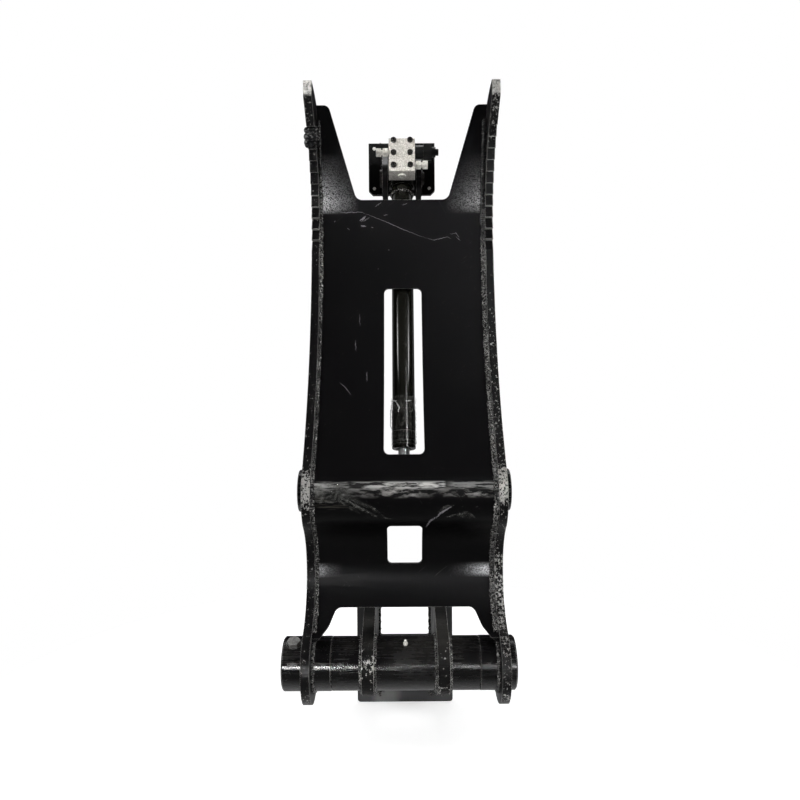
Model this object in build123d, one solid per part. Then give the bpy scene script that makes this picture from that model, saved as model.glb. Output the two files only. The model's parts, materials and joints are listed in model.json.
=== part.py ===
# Weld-on hydraulic thumb for an excavator, folded back against the stick.
# X runs across the thumb, -Y is the gripping side and Z points from the pivot to the tips.
# The origin lies on the base plate's weld-on face below the pivot, so the stick's face is y = 0.
import os
from math import acos, asin, atan2, cos, degrees, hypot, radians, sin, sqrt, tan

from build123d import *

# Thumb: two toothed side plates with a bent face plate between them
overall_width = 416.0        # over the side plates
side_plate = 18.0            # side plate thickness
pivot_offset = 305.0         # main pivot axis to the stick's face
pivot_height = 55.0          # main pivot axis above the origin
thumb_height = 1219.0        # main pivot axis to the tips
pivot_end_radius = 80.0      # round lower end of a side plate
nose_radius = 80.0           # round nose in front of the cylinder pin
nose_setback = 27.0          # nose centre behind the main pivot axis
nose_height = 348.0          # nose centre above the main pivot axis
jaw_relief_radius = 124.0    # hollow in the front edge between pivot and nose
grip_radius = 1000.0         # long hollow of the gripping edge, from the nose to the hook
hook_radius = 300.0          # hook under the tip
hook_height = 934.0          # hook's centre above the main pivot axis
hook_end_lean = -48.0        # degrees from upright where the hook ends
tip_setback = 20.0           # blunt tip face behind the main pivot axis
spine_lean = 13.0            # straight back edge, degrees from upright
tooth_pitch = 25.0
tooth_depth = 10.0
tooth_count = 11
teeth_start = 888.0          # first tooth above the main pivot axis

# Face plate and its openings
face_plate = 10.0            # plate thickness
face_recess = 5.0            # behind the side plates' front edges
leg_end_height = 64.0        # lower end of the legs above the pivot axis
apron_height = 110.5         # lower edge between the legs, above the pivot axis
leg_top_width = 47.0         # width of a leg at the apron
leg_waist_width = 32.0
leg_foot_width = 6.0
leg_waist_share = 0.57       # of the way down from the apron to the foot
leg_corner = 16.0
leg_flare = 26.0
wing_bend_radius = 60.0
wing_bend_start = 1.0        # degrees past level on the grip's arc
wing_bend_angle = 15.0
wing_length = 191.0          # flat length of the wings above their bend
wing_corner = 14.0
cut_bottom_height = 1006.0   # bottom of the cut between the wings
cut_bottom_width = 210.0
wing_top_width = 26.0
cut_corner = 18.0
slot_width = 85.0
slot_bottom_height = 432.0
slot_top_height = 799.0      # above it the barrel runs behind the plate
barrel_clearance = 2.1       # barrel to the back of the plate there
slot_corner = 11.0
window_width = 73.0
window_bottom_height = 197.0
window_top_height = 286.0
window_corner = 9.0

# Main pivot
main_pin_diameter = 60.0
hub_diameter = 107.0
hub_length = 302.0
hub_bore = 75.0
hub_bush_length = 70.0
boss_diameter = 108.0
boss_gap = 1.0               # between a boss and the hub
left_boss_proud = 43.0       # past the left side plate, holds the lock bolt
right_boss_proud = 17.0
main_pin_inset = 4.0         # pin end inside the boss face
lock_bolt_diameter = 16.0
lock_bolt_lean = 66.0        # degrees above level, head at the front
lock_bolt_from_plate = 20.0  # bolt axis past the side plate
spot_face_diameter = 30.0
spot_face_depth = 3.0

# Fits, chamfers and retaining rings shared by the pins
running_clearance = 0.05     # radial, pins in their bushes
fixed_clearance = 0.03       # radial, pins and bolts that stay put
rim_chamfer = 3.0            # turned rims of bosses, eyes and pins
small_chamfer = 1.5
hex_across_flats = 1.5       # of a bolt head or nut, times the thread
nut_height = 0.8             # times the thread
head_height = 0.625          # times the thread
clip_width = 2.5
clip_groove_depth = 1.5
clip_rim = 4.0               # past the pin's surface
clip_gap = 5.0               # between a clip's ends
clip_offset = 1.0            # from the shoulder beside it

# Base bracket
base_plate_width = 236.0
base_plate = 20.0            # base plate thickness
base_plate_bottom = -204.0   # from the pivot axis
base_plate_top = 200.0       # ends of its two arms
base_plate_corner = 8.0
base_cut_width = 124.0       # gap between the arms, where the cylinder passes
base_cut_bottom = -42.0      # from the pivot axis
lug_spacing = 128.0          # between the lugs
lug_plate = 25.0
lug_radius = 63.0
lug_foot_margin = 22.0       # lug foot inside the base plate's ends
grease_lean = 61.0           # degrees above level at the front of the hub
grease_thread = 6.0
grease_neck_diameter = 4.5
grease_hex = 8.0
grease_ball_diameter = 6.0
grease_height = 10.0         # hub surface to the ball's centre

# Hydraulic cylinder
cylinder_stroke = 500.0
rod_pin_setback = 62.0       # rod pin behind the main pivot axis
rod_pin_height = 350.0       # rod pin above the main pivot axis
base_pin_to_stick = 50.0     # base pin to the stick's face
base_pin_height = 1085.0     # base pin above the main pivot axis
cross_pin_diameter = 30.0
cross_tube_diameter = 90.0
cross_tube_proud = 18.0      # past the side plates
cross_pin_inset = 3.0        # pin end inside its tube's face
clip_pocket_depth = 12.0
clip_pocket_diameter = 44.0
rod_eye_width = 60.0
rod_eye_diameter = 62.0
rod_eye_gap = 1.0            # each side of the eye
eye_bush_wall = 3.0
rod_diameter = 25.0
rod_neck_diameter = 36.0
rod_neck_length = 16.0
bore_diameter = 40.0
barrel_diameter = 50.0
gland_diameter = 52.0
gland_start = 90.0           # rod pin to the gland's face
gland_head = 38.0
gland_spigot = 28.0
collar_length = 50.0
piston_length = 32.0
piston_nut_length = 20.0
piston_end_gap = 4.0
piston_spigot_diameter = 20.0
piston_groove_depth = 3.0
piston_seal_width = 6.0
guide_ring_width = 8.0
rod_seal_width = 7.0
rod_seal_wall = 3.5
rod_wiper_width = 5.0
rod_wiper_wall = 5.0
gland_groove_width = 3.0
gland_groove_depth = 1.5
gland_groove_pitch = 7.0
base_cap_thickness = 16.0
base_eye_width = 66.0
base_eye_diameter = 60.0
port_diameter = 22.0
port_height = 11.0
port_cap_height = 4.0
port_from_gland = 28.0       # gland face to the port's axis

# Valve block on the cylinder's base end
block_width = 62.0
block_height = 87.0
block_depth = 40.0
block_below_pin = 26.0
pad_width = 50.0
pad_face = 34.0              # pad face in front of the base pin
screw_head_diameter = 13.0
screw_head_height = 8.0
screw_side_inset = 11.5
screw_end_inset = 6.0       # top screws from the block's upper end
screw_pitch = 33.0
screw_socket = 6.0           # across flats
screw_seat_depth = 3.0
plug_diameter = 19.0
plug_socket = 8.0
plug_height = 4.0
fitting_hex = 19.0
fitting_nut_length = 12.0
fitting_gap = 4.0
left_port_height = 36.0      # port axes above the base pin
right_port_height = 2.0
left_cap_height = 54.5
left_cap_diameter = 11.0
left_cap_length = 18.0
right_cap_height = 36.0
right_cap_hex = 36.0
right_cap_length = 20.0

# Top bracket
top_plate_width = 164.0
top_plate_height = 127.0
top_plate = 15.0
top_plate_bottom = 1057.0    # above the main pivot axis
top_plate_chamfer = 10.0     # its lower corners
top_lug_spacing = 68.0
top_lug = 13.0
top_lug_radius = 38.0
top_lug_foot = 1012.0        # lower end of the lugs above the pivot axis
top_lug_top_margin = 12.0
top_bolt_inset = 14.0
top_bolt_diameter = 5.0
base_pin_head = 6.0
base_pin_head_rim = 6.0      # past the pin's surface
base_pin_end = 7.0           # past the lug on the clip's side

# Places that follow from the sizes, as (y, z)
pivot = (-pivot_offset, pivot_height)
nose = (pivot[0] + nose_setback, pivot[1] + nose_height)
rod_pin = (pivot[0] + rod_pin_setback, pivot[1] + rod_pin_height)
base_pin = (-base_pin_to_stick, pivot[1] + base_pin_height)
half_width = overall_width / 2
inner_half = half_width - side_plate
cylinder_length = hypot(base_pin[0] - rod_pin[0], base_pin[1] - rod_pin[1])
cylinder_lean = degrees(atan2(base_pin[0] - rod_pin[0], base_pin[1] - rod_pin[1]))
along_cylinder = Vector(0, sin(radians(cylinder_lean)), cos(radians(cylinder_lean)))
rod_frame = Plane(origin=(0, *rod_pin), x_dir=(1, 0, 0), z_dir=along_cylinder)
base_frame = Plane(origin=(0, *base_pin), x_dir=(1, 0, 0), z_dir=along_cylinder)


def polar(centre, radius, angle):
    """Point at an angle in degrees from +Y round a centre given as (y, z)."""
    return (centre[0] + radius * cos(radians(angle)), centre[1] + radius * sin(radians(angle)))


def arc(centre, radius, start, end):
    """Arc in the YZ plane between two angles in degrees."""
    middle = (start + end) / 2
    ends = [polar(centre, radius, a) for a in (start, middle, end)]
    return ThreePointArc(*ends)


def angle_to(centre, point):
    return degrees(atan2(point[1] - centre[1], point[0] - centre[0]))


def front_tangent_centre(first, first_radius, second, second_radius):
    """Centre at two given distances from two points, on the gripping side of both."""
    span_y, span_z = second[0] - first[0], second[1] - first[1]
    span = hypot(span_y, span_z)
    along = (first_radius**2 - second_radius**2 + span**2) / (2 * span)
    across = sqrt(first_radius**2 - along**2)
    foot = (first[0] + along * span_y / span, first[1] + along * span_z / span)
    return (foot[0] - across * span_z / span, foot[1] + across * span_y / span)


# Centres of the arcs that make the gripping edge; the face plate's back just clears the barrel
# at the slot's top, and that places the grip's arc
relief = front_tangent_centre(
    pivot, pivot_end_radius + jaw_relief_radius, nose, nose_radius + jaw_relief_radius
)
plate_back = grip_radius + face_recess + face_plate
slot_top = pivot[1] + slot_top_height
barrel_front = (barrel_diameter / 2 + barrel_clearance) / cos(radians(cylinder_lean))
passing = (rod_pin[0] + (slot_top - rod_pin[1]) * tan(radians(cylinder_lean)) - barrel_front, slot_top)
grip = front_tangent_centre(nose, nose_radius + grip_radius, passing, plate_back)
hook_z = pivot[1] + hook_height
hook = (grip[0] + sqrt((grip_radius - hook_radius) ** 2 - (hook_z - grip[1]) ** 2), hook_z)
grip_start = angle_to(grip, nose)
grip_end = angle_to(grip, hook)


def across(face, start, thickness):
    """Plate with a YZ outline, from x = start towards +X."""
    return Pos(start, 0, 0) * extrude(Plane.YZ * face, thickness)


def tube(diameter, bore, start, end, centre):
    """Round tube along X, or a bar where bore is 0."""
    ring = Circle(diameter / 2)
    if bore:
        ring -= Circle(bore / 2)
    return Pos(start, *centre) * extrude(Plane.YZ * ring, end - start)


def bar(frame, diameter, start, end, bore=0.0):
    """Round bar or tube along a frame's own Z."""
    ring = Circle(diameter / 2)
    if bore:
        ring -= Circle(bore / 2)
    return frame * Pos(0, 0, start) * extrude(ring, end - start)


def hexagon(across_flats):
    return RegularPolygon(across_flats / 2, 6, major_radius=False)


def hex_head(frame, thread, start):
    """Bolt head along a frame's Z with its outer corners turned off."""
    flats = hex_across_flats * thread
    end = start + head_height * thread
    head = bar(frame, flats / cos(radians(30)), start, end)
    top = head.edges().filter_by(GeomType.CIRCLE).sort_by_distance(frame.from_local_coords((0, 0, end)))
    head = chamfer(top[:1], (flats / cos(radians(30)) - flats) / 2)
    return head & (frame * Pos(0, 0, start) * extrude(hexagon(flats), end - start))


def hex_nut(frame, thread, start):
    flats = hex_across_flats * thread
    return frame * Pos(0, 0, start) * extrude(
        hexagon(flats) - Circle(thread / 2), nut_height * thread
    )


def clip_groove(start, centre):
    """Groove for a retaining ring on a pin along X."""
    floor = cross_pin_diameter - 2 * clip_groove_depth
    return tube(cross_pin_diameter + clip_rim, floor, start, start + clip_width, centre)


def retaining_ring(start, centre, gap_angle):
    """Open ring in a pin's groove, its gap at an angle from +Y."""
    floor = cross_pin_diameter - 2 * clip_groove_depth
    rim = cross_pin_diameter + 2 * clip_rim
    ring = tube(rim, floor, start, start + clip_width, centre)
    slit = across(Pos(rim / 2, 0) * Rectangle(rim, clip_gap), start, clip_width)
    return ring - Pos(0, *centre) * Rot(gap_angle, 0, 0) * slit


def side_plate_outline():
    """Whole outline of a side plate before its teeth and holes."""
    tip_top = pivot[1] + thumb_height
    tip_front = pivot[0] + tip_setback
    back_start = polar(pivot, pivot_end_radius, -spine_lean)
    lean = radians(spine_lean)
    reach = (back_start[0] - tip_front) * cos(lean) - (back_start[1] - tip_top) * sin(lean)
    crown_radius = reach / (1 + sin(lean))
    crown = (tip_front, tip_top - crown_radius)
    hook_end = polar(hook, hook_radius, -hook_end_lean)
    under_tip = hook_end[1] + (hook_end[0] - tip_front) / tan(radians(-hook_end_lean))
    edges = Curve() + [
        arc(pivot, pivot_end_radius, -spine_lean, angle_to(pivot, relief) - 360),
        arc(relief, jaw_relief_radius, angle_to(relief, pivot), angle_to(relief, nose)),
        arc(nose, nose_radius, angle_to(nose, relief) + 360, 180 + grip_start),
        arc(grip, grip_radius, grip_start, grip_end),
        arc(hook, hook_radius, grip_end, -hook_end_lean),
        Polyline(hook_end, (tip_front, under_tip), (tip_front, tip_top)),
        arc(crown, crown_radius, 90, -spine_lean),
        Line(polar(crown, crown_radius, -spine_lean), back_start),
    ]
    return make_face(edges)


def edge_point(distance, depth=0.0):
    """Point on the gripping edge, a distance along it past the start of the teeth."""
    start = degrees(asin((pivot[1] + teeth_start - grip[1]) / grip_radius))
    grip_left = radians(grip_end - start) * grip_radius
    if distance <= grip_left:
        return polar(grip, grip_radius + depth, start + degrees(distance / grip_radius))
    turned = degrees((distance - grip_left) / hook_radius)
    return polar(hook, hook_radius + depth, grip_end + turned)


def tooth_notches():
    """Wedges between the teeth: each ledge faces the pivot, each ramp climbs to the tip."""
    notches = Sketch()
    for number in range(tooth_count):
        low = edge_point(number * tooth_pitch)
        high = edge_point((number + 1) * tooth_pitch)
        root = edge_point((number + 1) * tooth_pitch, tooth_depth)
        outside = edge_point((number + 0.5) * tooth_pitch, -tooth_depth)
        notches += make_face(Polyline(low, root, high, outside, close=True))
    return notches


def side_plates():
    outline = side_plate_outline() - tooth_notches()
    outline -= Pos(*pivot) * Circle(boss_diameter / 2)
    outline -= Pos(*rod_pin) * Circle(cross_tube_diameter / 2)
    left = across(outline, -half_width, side_plate)
    right = across(outline, inner_half, side_plate)
    return {"side_plate_left": left, "side_plate_right": right}


def face_surface(depth):
    """Line across the bent face plate, a depth behind the side plates' front edges."""
    bend = polar(grip, grip_radius - wing_bend_radius, wing_bend_start)
    bend_end = wing_bend_start + wing_bend_angle
    leg_drop = pivot[1] + leg_end_height - relief[1]
    leg_angle = degrees(asin(leg_drop / (jaw_relief_radius + face_recess)))
    wing_start = polar(bend, wing_bend_radius + depth, bend_end)
    wing_end = polar(wing_start, wing_length, bend_end + 90)
    path = [
        arc(relief, jaw_relief_radius + depth, leg_angle, angle_to(relief, nose)),
        arc(nose, nose_radius - depth, angle_to(nose, relief) + 360, 180 + grip_start),
        arc(grip, grip_radius + depth, grip_start, wing_bend_start),
        arc(bend, wing_bend_radius + depth, wing_bend_start, bend_end),
        Line(wing_start, wing_end),
    ]
    return path, polar(relief, jaw_relief_radius + depth, leg_angle), wing_end


def opening(width, bottom, top, corner):
    """Rounded rectangular cutter seen from the front, heights above the pivot axis."""
    middle = pivot[1] + (bottom + top) / 2
    shape = Pos(0, middle) * RectangleRounded(width, top - bottom, corner)
    return extrude(Plane.XZ * shape, pivot_offset * 2, both=True)


def bent_face_plate():
    front, front_foot, front_top = face_surface(face_recess)
    back, back_foot, back_top = face_surface(face_recess + face_plate)
    ends = [Line(front_foot, back_foot), Line(front_top, back_top)]
    plate = across(make_face(Curve() + front + back + ends), -inner_half, 2 * inner_half)
    wing_top = max(front_top[1], back_top[1])
    cut_top = inner_half - wing_top_width
    cut_bottom = pivot[1] + cut_bottom_height
    cut = Polyline(
        (-cut_bottom_width / 2, cut_bottom),
        (cut_bottom_width / 2, cut_bottom),
        (cut_top, wing_top),
        (cut_top, wing_top + cut_corner),
        (-cut_top, wing_top + cut_corner),
        (-cut_top, wing_top),
        close=True,
    )
    cut = make_face(cut)
    cut = fillet(cut.vertices().sort_by(Axis.Y)[:2], cut_corner)
    apron = pivot[1] + apron_height
    leg_end = pivot[1] + leg_end_height - face_plate
    waist_z = apron - leg_waist_share * (apron - leg_end)
    right_side = [
        (inner_half - leg_top_width, apron),
        (inner_half - leg_waist_width, waist_z),
        (inner_half - leg_foot_width, leg_end),
    ]
    left_side = [(-x, z) for x, z in reversed(right_side)]
    arch = make_face(Polyline(*right_side, *left_side, close=True))
    by_height = arch.vertices().sort_by(Axis.Y)
    arch = fillet(by_height[-2:], leg_corner)
    waist = [v for v in arch.vertices() if abs(v.Y - waist_z) < 1]
    arch = fillet(waist, leg_flare)
    through = pivot_offset * 2
    plate -= extrude(Plane.XZ * cut, through, both=True)
    plate -= extrude(Plane.XZ * arch, through, both=True)
    plate -= opening(slot_width, slot_bottom_height, slot_top_height, slot_corner)
    plate -= opening(window_width, window_bottom_height, window_top_height, window_corner)
    wing_edges = [
        e for e in plate.edges().filter_by(GeomType.LINE)
        if e.center().Z > wing_top - wing_corner and abs(e.center().X) < cut_top + 1
    ]
    upright = [e for e in wing_edges if abs(e.length - face_plate) < 1]
    return fillet(upright, wing_corner)


def pivot_parts():
    bore = main_pin_diameter + 2 * fixed_clearance
    hub_half = hub_length / 2
    left_end = -half_width - left_boss_proud
    right_end = half_width + right_boss_proud
    bolt_frame = Plane(
        origin=(-half_width - lock_bolt_from_plate, *pivot),
        x_dir=(1, 0, 0),
        z_dir=(0, -cos(radians(lock_bolt_lean)), sin(radians(lock_bolt_lean))),
    )
    seat = boss_diameter / 2 - spot_face_depth
    bolt_bore = lock_bolt_diameter + 2 * fixed_clearance
    bolt_hole = bar(bolt_frame, bolt_bore, -boss_diameter, boss_diameter)
    spot_faces = bar(bolt_frame, spot_face_diameter, seat, boss_diameter)
    spot_faces += bar(bolt_frame, spot_face_diameter, -boss_diameter, -seat)
    left = tube(boss_diameter, bore, left_end, -hub_half - boss_gap, pivot)
    left = left - bolt_hole - spot_faces
    left_rim = left.edges().filter_by(GeomType.CIRCLE).sort_by(Axis.X)[:2]
    left = chamfer(left_rim.sort_by(SortBy.RADIUS)[-1:], rim_chamfer)
    right = tube(boss_diameter, bore, hub_half + boss_gap, right_end, pivot)
    right_rim = right.edges().filter_by(GeomType.CIRCLE).sort_by(Axis.X)[-2:]
    right = chamfer(right_rim.sort_by(SortBy.RADIUS)[-1:], rim_chamfer)
    pin = tube(main_pin_diameter, 0, left_end + main_pin_inset, right_end - main_pin_inset, pivot)
    pin = chamfer(pin.edges().filter_by(GeomType.CIRCLE), rim_chamfer) - bolt_hole
    nut_end = seat + nut_height * lock_bolt_diameter
    bolt = bar(bolt_frame, lock_bolt_diameter, -nut_end - rim_chamfer, seat)
    bolt += hex_head(bolt_frame, lock_bolt_diameter, seat)
    nut = hex_nut(bolt_frame, lock_bolt_diameter, -nut_end)
    return {
        "pivot_boss_left": left,
        "pivot_boss_right": right,
        "main_pin": pin,
        "lock_bolt": bolt,
        "lock_nut": nut,
    }


def cross_pin_parts():
    outer = half_width + cross_tube_proud
    eye_half = rod_eye_width / 2 + rod_eye_gap
    bore = cross_pin_diameter + 2 * fixed_clearance
    pocket = outer - clip_pocket_depth
    tubes = tube(cross_tube_diameter, bore, eye_half, outer, rod_pin)
    tubes -= tube(clip_pocket_diameter, 0, pocket, outer, rod_pin)
    rim = tubes.edges().filter_by(GeomType.CIRCLE).sort_by(Axis.X)[-2:]
    tubes = chamfer(rim.sort_by(SortBy.RADIUS)[-1:], small_chamfer)
    clip_start = pocket + clip_offset
    groove = clip_groove(clip_start, rod_pin)
    pin_end = outer - cross_pin_inset
    pin = tube(cross_pin_diameter, 0, -pin_end, pin_end, rod_pin)
    pin = chamfer(pin.edges().filter_by(GeomType.CIRCLE), small_chamfer)
    pin = pin - groove - mirror(groove, Plane.YZ)
    clip = retaining_ring(clip_start, rod_pin, -90)
    return {
        "cross_tube_right": tubes,
        "cross_tube_left": mirror(tubes, Plane.YZ),
        "cross_pin": pin,
        "cross_pin_clip_right": clip,
        "cross_pin_clip_left": mirror(clip, Plane.YZ),
    }


def tangent_lug(centre, radius, foot_y, low, high):
    """Lug outline: a round nose with two straight flanks down to a foot on a plate."""
    flanks = []
    for end, side in ((high, 1), (low, -1)):
        corner = (foot_y, end)
        span = hypot(corner[0] - centre[0], corner[1] - centre[1])
        spread = degrees(acos(radius / span))
        flanks.append((polar(centre, radius, angle_to(centre, corner) + side * spread), corner))
    (top_touch, top_corner), (low_touch, low_corner) = flanks
    nose_point = (centre[0] - radius, centre[1])
    return make_face(Curve() + [
        ThreePointArc(top_touch, nose_point, low_touch),
        Polyline(low_touch, low_corner, top_corner, top_touch),
    ])


def base_bracket():
    low = pivot_height + base_plate_bottom
    high = pivot_height + base_plate_top
    cut_low = pivot_height + base_cut_bottom
    plate = Pos(0, (low + high) / 2) * Rectangle(base_plate_width, high - low)
    plate -= Pos(0, (cut_low + high) / 2) * Rectangle(base_cut_width, high - cut_low)
    plate = fillet(plate.vertices(), base_plate_corner)
    plate = extrude(Plane.XZ * plate, base_plate)
    lug = tangent_lug(pivot, lug_radius, -base_plate, low + lug_foot_margin, high - lug_foot_margin)
    lug -= Pos(*pivot) * Circle(hub_diameter / 2)
    hub_half = hub_length / 2
    grease_frame = Plane(
        origin=(0, *pivot),
        x_dir=(1, 0, 0),
        z_dir=(0, -cos(radians(grease_lean)), sin(radians(grease_lean))),
    )
    hub = tube(hub_diameter, hub_bore, -hub_half, hub_half, pivot)
    rims = hub.edges().filter_by(GeomType.CIRCLE).sort_by(SortBy.RADIUS)[-2:]
    hub = chamfer(rims, small_chamfer) - bar(grease_frame, grease_thread, 0, hub_diameter)
    bush_bore = main_pin_diameter + 2 * running_clearance
    seat = hub_diameter / 2
    hex_part = grease_frame * Pos(0, 0, seat) * extrude(hexagon(grease_hex), grease_height / 2)
    neck = bar(grease_frame, grease_neck_diameter, seat - grease_height / 2, seat + grease_height)
    ball = grease_frame * Pos(0, 0, seat + grease_height) * Sphere(grease_ball_diameter / 2)
    return {
        "base_plate": plate,
        "base_lug_right": across(lug, lug_spacing / 2, lug_plate),
        "base_lug_left": across(lug, -lug_spacing / 2 - lug_plate, lug_plate),
        "hub_tube": hub,
        "hub_bush_left": tube(hub_bore, bush_bore, -hub_half, hub_bush_length - hub_half, pivot),
        "hub_bush_right": tube(hub_bore, bush_bore, hub_half - hub_bush_length, hub_half, pivot),
        "grease_fitting": neck + hex_part + ball,
    }


def rod_parts():
    eye_half = rod_eye_width / 2
    pin_bore = cross_pin_diameter + 2 * running_clearance
    bush_outer = cross_pin_diameter + 2 * eye_bush_wall
    eye = tube(rod_eye_diameter, bush_outer, -eye_half, eye_half, rod_pin)
    rims = eye.edges().filter_by(GeomType.CIRCLE).sort_by(SortBy.RADIUS)[-2:]
    eye = chamfer(rims, rim_chamfer)
    neck_end = rod_eye_diameter / 2 + rod_neck_length
    neck = bar(rod_frame, rod_neck_diameter, 0, neck_end)
    neck = chamfer(neck.edges().filter_by(GeomType.CIRCLE).sort_by(Axis.Z)[-1:], rim_chamfer)
    eye = eye + (neck - tube(bush_outer + rim_chamfer, 0, -eye_half, eye_half, rod_pin))
    barrel_end = cylinder_length - base_eye_diameter / 2 - base_cap_thickness
    nut_end = barrel_end - piston_end_gap
    nut_start = nut_end - piston_nut_length
    piston_start = nut_start - piston_length
    spigot = piston_spigot_diameter
    rod = bar(rod_frame, rod_diameter, neck_end, piston_start)
    rod += bar(rod_frame, spigot, piston_start, nut_end)
    seal_start = piston_start + piston_seal_width
    seal_end = seal_start + piston_seal_width
    ring_end = nut_start - piston_seal_width
    outer = bore_diameter - 2 * running_clearance
    inner = bore_diameter - 2 * piston_groove_depth
    piston = bar(rod_frame, outer, piston_start, nut_start, spigot)
    seal = bar(rod_frame, outer, seal_start, seal_end, inner)
    ring = bar(rod_frame, outer, ring_end - guide_ring_width, ring_end, inner)
    nut = hexagon(hex_across_flats * spigot) - Circle(spigot / 2)
    return {
        "rod": rod,
        "rod_eye": eye,
        "rod_eye_bush": tube(bush_outer, pin_bore, -eye_half, eye_half, rod_pin),
        "piston": piston - seal - ring,
        "piston_seal": seal,
        "piston_guide_ring": ring,
        "piston_nut": rod_frame * Pos(0, 0, nut_start) * extrude(nut, piston_nut_length),
    }


def barrel_parts():
    barrel_end = cylinder_length - base_eye_diameter / 2 - base_cap_thickness
    head_end = gland_start + gland_head
    rod_bore = rod_diameter + 2 * running_clearance
    gland = bar(rod_frame, gland_diameter, gland_start, head_end, rod_bore)
    rim = gland.edges().filter_by(GeomType.CIRCLE).sort_by(Axis.Z)[:2]
    gland = chamfer(rim.sort_by(SortBy.RADIUS)[-1:], small_chamfer)
    gland += bar(rod_frame, bore_diameter, head_end, head_end + gland_spigot, rod_bore)
    wiper_outer = rod_diameter + 2 * rod_wiper_wall
    wiper = bar(rod_frame, wiper_outer, gland_start, gland_start + rod_wiper_width, rod_bore)
    seal_start = head_end + (gland_spigot - rod_seal_width) / 2
    seal_outer = rod_diameter + 2 * rod_seal_wall
    seal = bar(rod_frame, seal_outer, seal_start, seal_start + rod_seal_width, rod_bore)
    gland = gland - wiper - seal
    groove_floor = gland_diameter - 2 * gland_groove_depth
    for number in (1, 2):
        start = gland_start + number * gland_groove_pitch
        gland -= bar(rod_frame, 2 * gland_diameter, start, start + gland_groove_width, groove_floor)
    port_frame = Plane(
        origin=rod_frame.from_local_coords((0, 0, gland_start + port_from_gland)),
        x_dir=along_cylinder,
        z_dir=rod_frame.y_dir,
    )
    cap_end = gland_diameter / 2 + port_height
    cap_start = cap_end - port_cap_height
    core = bar(rod_frame, gland_diameter, gland_start, head_end)
    port = bar(port_frame, port_diameter - port_cap_height, 0, cap_start) - core
    port_cap = bar(port_frame, port_diameter, cap_start, cap_end)
    collar_end = head_end + collar_length
    collar = bar(rod_frame, gland_diameter, head_end, collar_end, barrel_diameter)
    return {
        "barrel": bar(rod_frame, barrel_diameter, head_end, barrel_end, bore_diameter),
        "barrel_collar": collar,
        "gland": gland,
        "rod_wiper": wiper,
        "rod_seal": seal,
        "rod_port": port,
        "rod_port_cap": port_cap,
        "base_end": cylinder_base_end(),
        "base_end_bush": tube(
            cross_pin_diameter + 2 * eye_bush_wall,
            cross_pin_diameter + 2 * running_clearance,
            -base_eye_width / 2, base_eye_width / 2, base_pin,
        ),
    }


def cylinder_base_end():
    """Cap, eye and valve pad of the cylinder's base end, one forging."""
    eye_half = base_eye_width / 2
    eye = tube(base_eye_diameter, 0, -eye_half, eye_half, base_pin)
    eye = chamfer(eye.edges().filter_by(GeomType.CIRCLE), rim_chamfer)
    cap = bar(base_frame, barrel_diameter, -base_eye_diameter / 2 - base_cap_thickness, 0)
    pad_low = -block_below_pin
    pad_high = base_eye_diameter / 2
    pad = base_frame * Pos(0, -pad_face / 2, (pad_low + pad_high) / 2) * Box(
        pad_width, pad_face, pad_high - pad_low
    )
    whole = eye + cap + pad
    return whole - tube(cross_pin_diameter + 2 * eye_bush_wall, 0, -eye_half, eye_half, base_pin)


def side_fitting(side, height, steps):
    """Stepped fitting on a side of the valve block; steps are (across, length, is a hexagon)."""
    frame = Plane(
        origin=base_frame.from_local_coords((
            side * block_width / 2, -pad_face - block_depth / 2, height
        )),
        x_dir=along_cylinder,
        z_dir=(side, 0, 0),
    )
    body = None
    start = 0.0
    for size, length, is_hexagon in steps:
        outline = hexagon(size) if is_hexagon else Circle(size / 2)
        step = frame * Pos(0, 0, start) * extrude(outline, length)
        body = step if body is None else body + step
        start += length
    return body


def fitting_steps():
    """Two nuts in a row with a thinner collar ahead of each."""
    collar = (fitting_hex * 0.65, fitting_gap, False)
    nut = (fitting_hex, fitting_nut_length, True)
    return [(fitting_hex * 0.65, fitting_gap / 2, False), nut, collar, nut]


def valve_parts():
    centre_height = block_height / 2 - block_below_pin
    block = base_frame * Pos(0, -pad_face - block_depth / 2, centre_height) * Box(
        block_width, block_depth, block_height
    )
    block = chamfer(block.edges(), small_chamfer / 2)
    face = Plane(
        origin=base_frame.from_local_coords((0, -pad_face - block_depth, 0)),
        x_dir=(1, 0, 0),
        z_dir=-base_frame.y_dir,
    )
    high = block_height - block_below_pin - screw_end_inset
    screws = Part()
    for height in (high - 2 * screw_pitch, high - screw_pitch, high):
        for side in (-1, 1):
            place = face * Pos(side * (block_width / 2 - screw_side_inset), height, 0)
            seat = place * Pos(0, 0, -screw_seat_depth)
            block -= seat * extrude(Circle(screw_head_diameter / 2 + fixed_clearance), screw_seat_depth)
            head = extrude(Circle(screw_head_diameter / 2), screw_head_height)
            socket = extrude(hexagon(screw_socket), screw_head_height / 2)
            screws += seat * (head - Pos(0, 0, screw_head_height / 2) * socket)
    under = Plane(
        origin=base_frame.from_local_coords((0, -pad_face - block_depth / 2, -block_below_pin)),
        x_dir=(1, 0, 0),
        z_dir=-along_cylinder,
    )
    plug = bar(under, plug_diameter, 0, plug_height)
    plug -= under * Pos(0, 0, plug_height / 2) * extrude(hexagon(plug_socket), plug_height)
    fitting = fitting_steps()
    return {
        "valve_block": block,
        "valve_screws": screws,
        "valve_plug": plug,
        "valve_fitting_left": side_fitting(-1, left_port_height, fitting),
        "valve_fitting_right": side_fitting(1, right_port_height, fitting),
    }


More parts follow.
